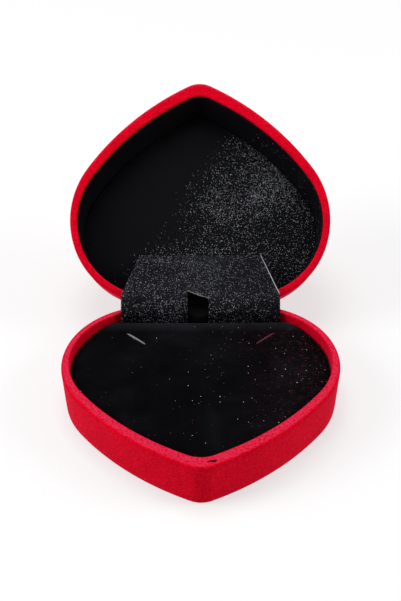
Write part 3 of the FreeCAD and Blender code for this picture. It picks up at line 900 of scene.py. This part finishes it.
class GIFTBOX_OT_cover(bpy.types.Operator):
    """Make the satin hinge cover."""
    bl_idname = "giftbox.cover"
    bl_label = "Hinge cover"

    lower_rows = 26
    upper_rows = 44
    thickness = 0.35

    def execute(self, context):
        settings = context.scene.giftbox_lining
        _, inner, _ = box_outlines()
        path, bend_end = self.path(inner)
        total = path[-1][4]
        columns = self.columns()
        near = path[0][0]
        front, back = [], []
        for x in columns:
            share = min(1.0, max(0.0, (x + NOTCH_LEFT) / (NOTCH_LEFT + NOTCH_RIGHT)))
            reach = NOTCH_REACH_LEFT + (NOTCH_REACH_RIGHT - NOTCH_REACH_LEFT) * share
            cut_at = next(p[4] for p in path if p[0] >= near + reach)
            for s in self.stations(cut_at, total):
                y, z, ny, nz = path_at(path, s)
                past = max(0.0, (s - bend_end) / (total - bend_end))
                wide = x / COVER_HALF * (COVER_HALF + (COVER_TOP_HALF - COVER_HALF) * past)
                lift = self.crease(settings, wide, s, total)
                front.append(Vector((wide, y + ny * lift, z + nz * lift)))
                back.append(Vector((
                    wide, y + ny * (lift - self.thickness), z + nz * (lift - self.thickness))))
        piece, rim_faces = self.cloth(columns, front, back)
        finish_piece(
            piece, satin("acetate_satin_cover"), "black_satin", None, "hinge_cover_satin")
        pale_edge_finish = material_named("satin_pale_edge", lambda: plain_material(
            "satin_pale_edge", "9C9CA0", 0.8, 3000.0, 0.0001))
        piece.data.materials.append(pale_edge_finish)
        # A pale grey edge colour goes along the right slant and round the notch.
        panel = path_at(path, bend_end)[0]
        for polygon in piece.data.polygons:
            spot = polygon.center / MM
            past = (spot.y - panel) / (path[-1][0] - panel)
            half = COVER_HALF + (COVER_TOP_HALF - COVER_HALF) * max(0.0, past)
            on_slant = past > 0 and spot.x > half - PALE_EDGE
            at_notch = -NOTCH_LEFT + 0.1 < spot.x < NOTCH_RIGHT - 0.1 and spot.y > near + 1
            if on_slant or (at_notch and polygon.index in rim_faces):
                polygon.material_index = 1
        sheet_area(piece)
        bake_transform(piece)
        return {"FINISHED"}

    def stations(self, cut_at, total):
        """Distances along the path: rows up to the notch's end, then rows beyond it."""
        low = [cut_at * k / self.lower_rows for k in range(self.lower_rows)]
        high = [cut_at + (total - cut_at) * k / self.upper_rows
                for k in range(self.upper_rows + 1)]
        return low + high

    def crease(self, settings, x, s, total):
        """How far the cloth stands off its path: creases over the bend, calm beyond it."""
        spot = Vector((x, s, 0.0))
        over_bend = math.exp(-((s - 10.0) / 6.0) ** 2)
        lift = settings.wrinkle * over_bend * (
            1.2 * soft_noise(spot, 6.5, 1.7) + 0.7 * soft_noise(spot, 3.0, 5.2))
        lift += 0.10 * soft_noise(spot, 9.0, 7.7) * min(1.0, (total - s) / 4.0)
        # A dimple near the left side and a long soft crease across the top of the bend.
        lift -= 0.55 * math.exp(-((x + 22.5) / 1.6) ** 2 - ((s - 10.5) / 1.3) ** 2)
        lift -= 0.22 * math.exp(-((s - 15.2 + 0.02 * x) / 0.6) ** 2)
        return lift

    def cloth(self, columns, front, back):
        """A thin closed sheet of the two faces, open at the notch; returns its rim's faces too."""
        rows = self.lower_rows + self.upper_rows + 1
        count = len(front)
        faces = []
        uses = {}
        for c in range(len(columns) - 1):
            middle = (columns[c] + columns[c + 1]) / 2
            open_below = self.lower_rows if -NOTCH_LEFT < middle < NOTCH_RIGHT else 0
            for r in range(open_below, rows - 1):
                a = c * rows + r
                quad = (a, a + 1, a + rows + 1, a + rows)
                faces += [quad, tuple(count + i for i in reversed(quad))]
                for i in range(4):
                    edge = (quad[i], quad[(i + 1) % 4])
                    uses.setdefault(tuple(sorted(edge)), []).append(edge)
        first_rim = len(faces)
        for edges in uses.values():
            if len(edges) == 1:
                i, j = edges[0]
                faces.append((j, i, count + i, count + j))
        used = sorted({i for face in faces for i in face})
        rename = {old: new for new, old in enumerate(used)}
        points = front + back
        piece = mesh_object(
            "hinge_cover_satin_cloth", [points[i] * MM for i in used],
            [tuple(rename[i] for i in face) for face in faces])
        return piece, range(first_rim, len(faces))

    def columns(self):
        """Where the grid's columns lie, with one on each side of the notch."""
        xs = []
        spans = ((-COVER_HALF, -NOTCH_LEFT, 40), (-NOTCH_LEFT, NOTCH_RIGHT, 12),
                 (NOTCH_RIGHT, COVER_HALF - PALE_EDGE, 42))
        for low, high, count in spans:
            for k in range(count):
                xs.append(low + (high - low) * k / count)
        xs += [COVER_HALF - PALE_EDGE, COVER_HALF]
        return xs

    def path(self, inner):
        """The visible face in the plane X = 0: (y, z, normal y, normal z, distance along)."""
        shells = bpy.context.scene.giftbox_shells
        back = min(inner.back_y(COVER_HALF), inner.back_y(NOTCH_RIGHT))
        cover_y = back - CARD_GAP - CARD
        mouth_y = inner.cleft_y - COVER_MOUTH
        ceiling = LID_RIM + shells.lid_height - shells.lid_top - CEILING_FILL
        mouth, far = opened([
            Vector((0, mouth_y, LID_RIM)),
            Vector((0, mouth_y - COVER_RUN, ceiling - COVER_CLEAR))])
        along = (far - mouth).normalized()
        fold = mouth + along * ((cover_y - mouth.y) / along.y)
        down = Vector((0, 0, -1))
        half_angle = down.angle(along) / 2
        trim = COVER_BEND / math.tan(half_angle)
        turn_start = fold + down * trim
        turn_end = fold + along * trim
        inwards = (along + down).normalized()
        centre = fold + inwards * (COVER_BEND / math.sin(half_angle))
        first = Vector((0, cover_y, AXIS_Z - COVER_FOOT))
        rise, turning, panel = 10, 22, 36
        points = [first.lerp(turn_start, k / rise) for k in range(rise)]
        a0 = math.atan2(turn_start.z - centre.z, turn_start.y - centre.y)
        a1 = math.atan2(turn_end.z - centre.z, turn_end.y - centre.y)
        if a0 < 0:
            a0 += 2 * math.pi
        for k in range(turning):
            angle = a0 + (a1 - a0) * k / turning
            spoke = Vector((0, math.cos(angle), math.sin(angle)))
            points.append(centre + COVER_BEND * spoke)
        points += [turn_end.lerp(far, k / panel) for k in range(panel + 1)]
        path = []
        s = 0.0
        for k, p in enumerate(points):
            before = points[max(0, k - 1)]
            after = points[min(len(points) - 1, k + 1)]
            direction = (after - before).normalized()
            if k:
                s += (p - before).length
            path.append((p.y, p.z, -direction.z, direction.y, s))
        return path, path[rise + turning][4]


def path_at(path, s):
    """Point and normal (y, z, normal y, normal z) at a distance along a path."""
    for before, after in zip(path, path[1:]):
        if s <= after[4] + 1e-9:
            share = (s - before[4]) / (after[4] - before[4])
            return [a + (b - a) * share for a, b in zip(before[:4], after[:4])]
    return list(path[-1][:4])


class GIFTBOX_OT_tape(bpy.types.Operator):
    """Make the black tape over the cleft and hinge barrels behind the notch: painted shade."""
    bl_idname = "giftbox.tape"
    bl_label = "Hinge tape"

    def execute(self, context):
        _, inner, _ = box_outlines()
        half = 6.2
        gap = 0.12
        wall_gap = 0.22
        barrel = 1.9
        columns = [-half + 2 * half * k / 16 for k in range(17)]
        front, back = [], []
        for x in columns:
            wall = wall_y(inner, x) - wall_gap
            side = [(wall, BASE_TOP - 5.0), (wall, BASE_TOP - 2.5), (wall, BASE_TOP - 0.6),
                    (wall + 0.25, BASE_TOP - 0.1), (wall + 0.6, BASE_TOP + gap - 0.02)]
            side += [(AXIS_Y - 4.0, BASE_TOP + gap - 0.02), (AXIS_Y - 2.6, AXIS_Z - 0.1)]
            arc = []
            for k in range(13):
                angle = math.radians(OPENING) * k / 12
                arc.append((AXIS_Y - barrel * math.cos(angle), AXIS_Z + barrel * math.sin(angle)))
            mirrored = [Vector((0, y, 2 * AXIS_Z - z)) for y, z in reversed(side[3:])]
            lid_side = [(p.y, p.z) for p in opened(mirrored)]
            points = side + arc + lid_side
            for k, (y, z) in enumerate(points):
                before = points[max(0, k - 1)]
                after = points[min(len(points) - 1, k + 1)]
                run = Vector((after[0] - before[0], after[1] - before[1])).normalized()
                front.append(Vector((x, y, z)))
                back.append(Vector((x, y + run.y * 0.1, z - run.x * 0.1)))
        # Painted shade: the tape's black stands in for the deep shade behind the notch.
        piece = strip_piece("hinge_shade_tape_black", columns, front, back)
        tape = plain_material("shade_tape_black", "050506", 0.95, 2500.0, 0.0001)
        finish_piece(piece, tape, "black_satin", None)
        piece.data.materials[0].node_tree.nodes["Principled BSDF"].inputs[
            "Specular IOR Level"].default_value = 0.05
        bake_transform(piece)
        return {"FINISHED"}


def wall_y(outline, x):
    """Y of an outline's back wall at X, on the cleft's arc or on the lobe."""
    joint = outline.lobe_x * outline.cleft_radius / (outline.lobe_radius + outline.cleft_radius)
    if abs(x) < joint:
        r = outline.cleft_radius
        return outline.cleft_y + r - math.sqrt(r * r - x * x)
    return outline.back_y(x)


def strip_piece(name, columns, front, back):
    """A thin closed strip from two grids of points, column by column."""
    rows = len(front) // len(columns)
    count = len(front)
    faces = []
    for c in range(len(columns) - 1):
        for r in range(rows - 1):
            a = c * rows + r
            b = count + a
            faces += [(a, a + 1, a + rows + 1, a + rows), (b + rows, b + rows + 1, b + 1, b)]
        for r in (0, rows - 1):
            a = c * rows + r
            faces.append((a, a + rows, count + a + rows, count + a))
    for c in (0, len(columns) - 1):
        for r in range(rows - 1):
            a = c * rows + r
            faces.append((a, a + 1, count + a + 1, count + a))
    return mesh_object(name, [p * MM for p in front + back], faces)


def sheet_area(piece):
    """Half of a thin closed sheet's surface, in square metres."""
    return sum(p.area for p in piece.data.polygons) / 2


class GIFTBOX_OT_hardware(bpy.types.Operator):
    """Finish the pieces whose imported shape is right: steel, card, board, foam and wadding."""
    bl_idname = "giftbox.hardware"
    bl_label = "Hardware and boards"

    def execute(self, context):
        steel = plain_material("zinc_plated_steel", "A9ADB2", 0.32, 900.0, 0.00002, 1.0)
        grey = plain_material("grey_board", "8C8880", 0.85, 700.0, 0.00006)
        black = plain_material("black_dyed_card", "1B1B1D", 0.8, 900.0, 0.00005)
        foam = plain_material("open_cell_foam", "1C1C1F", 0.95, 2600.0, 0.0003)
        wadding = plain_material("polyester_wadding", "D6D4CE", 0.95, 500.0, 0.0002)
        finishes = {
            "hinge_leaf_base": steel, "hinge_leaf_lid": steel, "hinge_pin": steel,
            "hinge_spring": steel, "hinge_rivets_base": steel, "hinge_rivets_lid": steel,
            "insert_board": grey, "lid_ceiling_board": grey, "hinge_cover_card": black,
            "insert_foam": foam, "lid_ceiling_wadding": wadding,
        }
        for node, material in finishes.items():
            mesh = frame["nodes"][node].data
            mesh.materials.clear()
            mesh.materials.append(material)
        return {"FINISHED"}


class GIFTBOX_OT_stage(bpy.types.Operator):
    """Set up the floor, the soft light and the camera."""
    bl_idname = "giftbox.stage"
    bl_label = "Stage"

    def execute(self, context):
        scene = context.scene
        scene.view_settings.view_transform = "Standard"
        self.floor()
        self.world(scene)
        self.lamps()
        self.camera(scene)
        return {"FINISHED"}

    def floor(self):
        size = 3.0
        corners = [(-size, -size, 0), (size, -size, 0), (size, size, 0), (-size, size, 0)]
        floor = mesh_object("floor", [Vector(c) for c in corners], [(0, 1, 2, 3)])
        material = plain_material("white_acrylic_floor", "FFFFFF", 0.9, 40.0, 0.00001)
        shader = material.node_tree.nodes["Principled BSDF"]
        # An even colour: the grain stays in the roughness and the bump.
        material.node_tree.links.remove(shader.inputs["Base Color"].links[0])
        shader.inputs["Base Color"].default_value = hex_linear("8E8E8E")
        # Lit from below as well, so that shadows stay pale.
        shader.inputs["Emission Color"].default_value = hex_linear("FFFFFF")
        shader.inputs["Emission Strength"].default_value = 0.585
        floor.data.materials.append(material)

    def world(self, scene):
        world = bpy.data.worlds.new("soft_studio")
        world.use_nodes = True
        background = world.node_tree.nodes["Background"]
        background.inputs["Color"].default_value = (1, 1, 1, 1)
        background.inputs["Strength"].default_value = 0.36
        scene.world = world

    def lamps(self):
        """Soft boxes at the left and at the right, and one overhead, a little behind."""
        lamps = (
            ("key", (-0.95, -0.1, 0.6), 0.55, 10.0),
            ("fill", (0.95, 0.0, 0.55), 0.55, 7.0),
            ("top", (-0.1, 0.25, 1.1), 0.6, 7.0),
        )
        target = Vector((0, AXIS_Y * MM, 0.03))
        for name, place, size, power in lamps:
            light = bpy.data.lights.new(name, "AREA")
            light.energy = power
            light.size = size
            lamp = bpy.data.objects.new(name, light)
            lamp.location = place
            lamp.rotation_euler = (target - Vector(place)).to_track_quat("-Z", "Y").to_euler()
            bpy.context.scene.collection.objects.link(lamp)

    def camera(self, scene):
        """Look at the hinge pin from the front and above."""
        stage = scene.giftbox_stage
        pin = Vector((0, AXIS_Y * MM, AXIS_Z * MM))
        forward = Vector((0, math.cos(stage.elevation), -math.sin(stage.elevation)))
        data = bpy.data.cameras.new("camera")
        data.lens = stage.lens
        data.shift_y = CAMERA_SHIFT
        camera = bpy.data.objects.new("camera", data)
        turn = forward.to_track_quat("-Z", "Y").to_matrix().to_4x4()
        roll = Matrix.Rotation(math.radians(CAMERA_ROLL), 4, "Z")
        camera.matrix_world = Matrix.Translation(pin - forward * stage.distance) @ turn @ roll
        scene.collection.objects.link(camera)
        scene.camera = camera


STEPS = ("stage", "base", "lid", "insert", "lining", "cover", "tape", "hardware")


class GIFTBOX_PT_panel(bpy.types.Panel):
    """The gift box's steps."""
    bl_idname = "GIFTBOX_PT_panel"
    bl_label = "Gift box"
    bl_space_type = "VIEW_3D"
    bl_region_type = "UI"
    bl_category = "Gift box"

    def draw(self, context):
        for step in STEPS:
            self.layout.operator("giftbox." + step)


CLASSES = (
    GIFTBOX_PG_shells, GIFTBOX_PG_insert, GIFTBOX_PG_lining, GIFTBOX_PG_stage,
    GIFTBOX_OT_stage, GIFTBOX_OT_base, GIFTBOX_OT_lid, GIFTBOX_OT_insert,
    GIFTBOX_OT_lining, GIFTBOX_OT_cover, GIFTBOX_OT_tape,
    GIFTBOX_OT_hardware, GIFTBOX_PT_panel,
)
GROUPS = {
    "giftbox_shells": GIFTBOX_PG_shells,
    "giftbox_insert": GIFTBOX_PG_insert,
    "giftbox_lining": GIFTBOX_PG_lining,
    "giftbox_stage": GIFTBOX_PG_stage,
}


def register():
    for cls in CLASSES:
        bpy.utils.register_class(cls)
    for name, group in GROUPS.items():
        setattr(bpy.types.Scene, name, bpy.props.PointerProperty(type=group))


def unregister():
    for name in GROUPS:
        delattr(bpy.types.Scene, name)
    for cls in reversed(CLASSES):
        bpy.utils.unregister_class(cls)


def main():
    register()
    for step in STEPS:
        getattr(bpy.ops.giftbox, step)()


if __name__ == "__main__":
    main()
